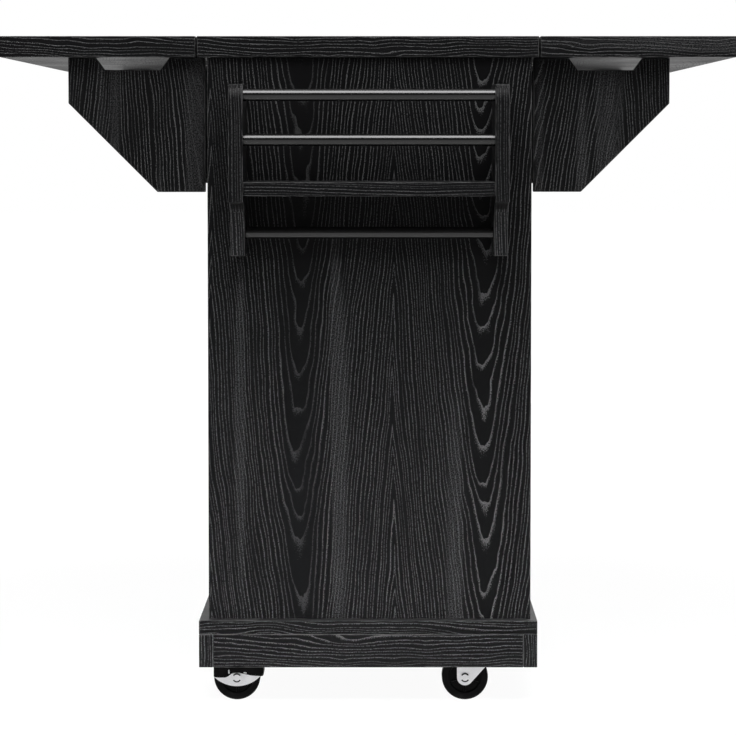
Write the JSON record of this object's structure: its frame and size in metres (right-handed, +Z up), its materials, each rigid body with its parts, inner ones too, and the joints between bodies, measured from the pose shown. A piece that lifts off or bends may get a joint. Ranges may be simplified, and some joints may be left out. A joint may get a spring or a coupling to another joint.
{
  "type": "drop leaf kitchen island",
  "caption": "Kitchen island on casters with drop leaves on swing-out brackets, a spice and towel rack on one end, a drawer and a cabinet with doors.",
  "frame": {"origin": "on the floor, under the middle of the island's whole box", "axes": "+X across both leaves, to the right when facing the rack; +Y along the body, away from the rack; +Z up"},
  "size_m": [1, 0.972, 0.921],
  "materials": {
    "oak_board": "black stained open-pore oak grain, satin",
    "drawer_board": "smooth black board, satin",
    "rod_metal": "glossy black lacquered tube",
    "hinge_metal": "dark nickel plated steel",
    "knob_metal": "satin nickel",
    "caster_steel": "bright zinc plated pressed steel",
    "wheel_plastic": "black moulded plastic"
  },
  "bodies": {
    "cabinet": {"worktop": "oak_board", "end_panel_near": "oak_board", "end_panel_far": "oak_board", "back_panel": "oak_board", "drawer_deck": "oak_board", "fascia_boards": "oak_board", "base_board": "oak_board", "base_end_rails": "oak_board", "base_side_rails": "oak_board", "caster_blocks": "oak_board", "cabinet_shelf": "oak_board", "shelf_pins": "caster_steel", "drawer_runners": "drawer_board", "rack_side_left": "oak_board", "rack_side_right": "oak_board", "rack_shelf": "oak_board", "rack_rods": "rod_metal", "bracket_hinge_plates": "hinge_metal", "leaf_hinge_plates": "hinge_metal", "door_hinge_plates": "hinge_metal", "hinge_pins": "hinge_metal", "caster_plates": "caster_steel"},
    "leaf_left": {"leaf_left": "oak_board", "leaf_hinges_left": "hinge_metal"},
    "leaf_right": {"leaf_right": "oak_board", "leaf_hinges_right": "hinge_metal"},
    "bracket_left_near": {"bracket_left_near": "oak_board", "bracket_hinge_left_near": "hinge_metal"},
    "bracket_right_near": {"bracket_right_near": "oak_board", "bracket_hinge_right_near": "hinge_metal"},
    "bracket_left_far": {"bracket_left_far": "oak_board", "bracket_hinge_left_far": "hinge_metal"},
    "bracket_right_far": {"bracket_right_far": "oak_board", "bracket_hinge_right_far": "hinge_metal"},
    "drawer": {"drawer_front": "oak_board", "drawer_sides": "drawer_board", "drawer_back": "drawer_board", "drawer_bottom": "drawer_board", "drawer_knob": "knob_metal"},
    "door_near": {"door_near": "oak_board", "door_near_knob": "knob_metal", "door_near_hinges": "hinge_metal"},
    "door_far": {"door_far": "oak_board", "door_far_knob": "knob_metal", "door_far_hinges": "hinge_metal"},
    "caster_left_near": {"fork_left_near": "caster_steel", "axle_left_near": "caster_steel"},
    "wheel_left_near": {"wheel_left_near": "wheel_plastic"},
    "caster_right_near": {"fork_right_near": "caster_steel", "axle_right_near": "caster_steel"},
    "wheel_right_near": {"wheel_right_near": "wheel_plastic"},
    "caster_left_far": {"fork_left_far": "caster_steel", "axle_left_far": "caster_steel"},
    "wheel_left_far": {"wheel_left_far": "wheel_plastic"},
    "caster_right_far": {"fork_right_far": "caster_steel", "axle_right_far": "caster_steel"},
    "wheel_right_far": {"wheel_right_far": "wheel_plastic"},
    "brake_left_near": {"brake_left_near": "caster_steel"},
    "brake_left_far": {"brake_left_far": "caster_steel"}
  },
  "joints": [
    {"name": "leaf_left_lift", "type": "hinge", "parent": "cabinet", "child": "leaf_left", "pos_m": [-0.233, 0.054, 0.8913], "axis": [0, 1, 0], "range_deg": [0, 3]},
    {"name": "leaf_right_lift", "type": "hinge", "parent": "cabinet", "child": "leaf_right", "pos_m": [0.233, 0.054, 0.8913], "axis": [0, -1, 0], "range_deg": [0, 3]},
    {"name": "bracket_left_near_swing", "type": "hinge", "parent": "cabinet", "child": "bracket_left_near", "pos_m": [-0.221, -0.3325, 0.8007], "axis": [0, 0, -1], "range_deg": [0, 90]},
    {"name": "bracket_right_near_swing", "type": "hinge", "parent": "cabinet", "child": "bracket_right_near", "pos_m": [0.225, -0.317, 0.8007], "axis": [0, 0, 1], "range_deg": [0, 90]},
    {"name": "bracket_left_far_swing", "type": "hinge", "parent": "cabinet", "child": "bracket_left_far", "pos_m": [-0.221, 0.4405, 0.8007], "axis": [0, 0, 1], "range_deg": [0, 90]},
    {"name": "bracket_right_far_swing", "type": "hinge", "parent": "cabinet", "child": "bracket_right_far", "pos_m": [0.225, 0.425, 0.8007], "axis": [0, 0, -1], "range_deg": [0, 90]},
    {"name": "drawer_slide", "type": "slide", "parent": "cabinet", "child": "drawer", "axis": [-1, 0, 0], "range_m": [0, 0.28]},
    {"name": "door_near_swing", "type": "hinge", "parent": "cabinet", "child": "door_near", "pos_m": [-0.2178, -0.3442, 0.4088], "axis": [0, 0, 1], "range_deg": [0, 105]},
    {"name": "door_far_swing", "type": "hinge", "parent": "cabinet", "child": "door_far", "pos_m": [-0.2178, 0.4522, 0.4088], "axis": [0, 0, -1], "range_deg": [0, 105]},
    {"name": "caster_left_near_swivel", "type": "hinge", "parent": "cabinet", "child": "caster_left_near", "pos_m": [-0.159, -0.301, 0.077], "axis": [0, 0, 1], "continuous": true},
    {"name": "caster_right_near_swivel", "type": "hinge", "parent": "cabinet", "child": "caster_right_near", "pos_m": [0.159, -0.301, 0.077], "axis": [0, 0, 1], "continuous": true},
    {"name": "caster_left_far_swivel", "type": "hinge", "parent": "cabinet", "child": "caster_left_far", "pos_m": [-0.159, 0.409, 0.077], "axis": [0, 0, 1], "continuous": true},
    {"name": "caster_right_far_swivel", "type": "hinge", "parent": "cabinet", "child": "caster_right_far", "pos_m": [0.159, 0.409, 0.077], "axis": [0, 0, 1], "continuous": true},
    {"name": "wheel_left_near_roll", "type": "hinge", "parent": "caster_left_near", "child": "wheel_left_near", "pos_m": [-0.18325, -0.301, 0.0322], "axis": [0, 1, 0], "continuous": true},
    {"name": "wheel_right_near_roll", "type": "hinge", "parent": "caster_right_near", "child": "wheel_right_near", "pos_m": [0.13475, -0.301, 0.0322], "axis": [0, 1, 0], "continuous": true},
    {"name": "wheel_left_far_roll", "type": "hinge", "parent": "caster_left_far", "child": "wheel_left_far", "pos_m": [-0.18325, 0.409, 0.0322], "axis": [0, 1, 0], "continuous": true},
    {"name": "wheel_right_far_roll", "type": "hinge", "parent": "caster_right_far", "child": "wheel_right_far", "pos_m": [0.13475, 0.409, 0.0322], "axis": [0, 1, 0], "continuous": true},
    {"name": "brake_left_near_rock", "type": "hinge", "parent": "caster_left_near", "child": "brake_left_near", "pos_m": [-0.18325, -0.301, 0.0322], "axis": [0, 1, 0], "range_deg": [0, 12]},
    {"name": "brake_left_far_rock", "type": "hinge", "parent": "caster_left_far", "child": "brake_left_far", "pos_m": [-0.18325, 0.409, 0.0322], "axis": [0, 1, 0], "range_deg": [0, 12]}
  ]
}
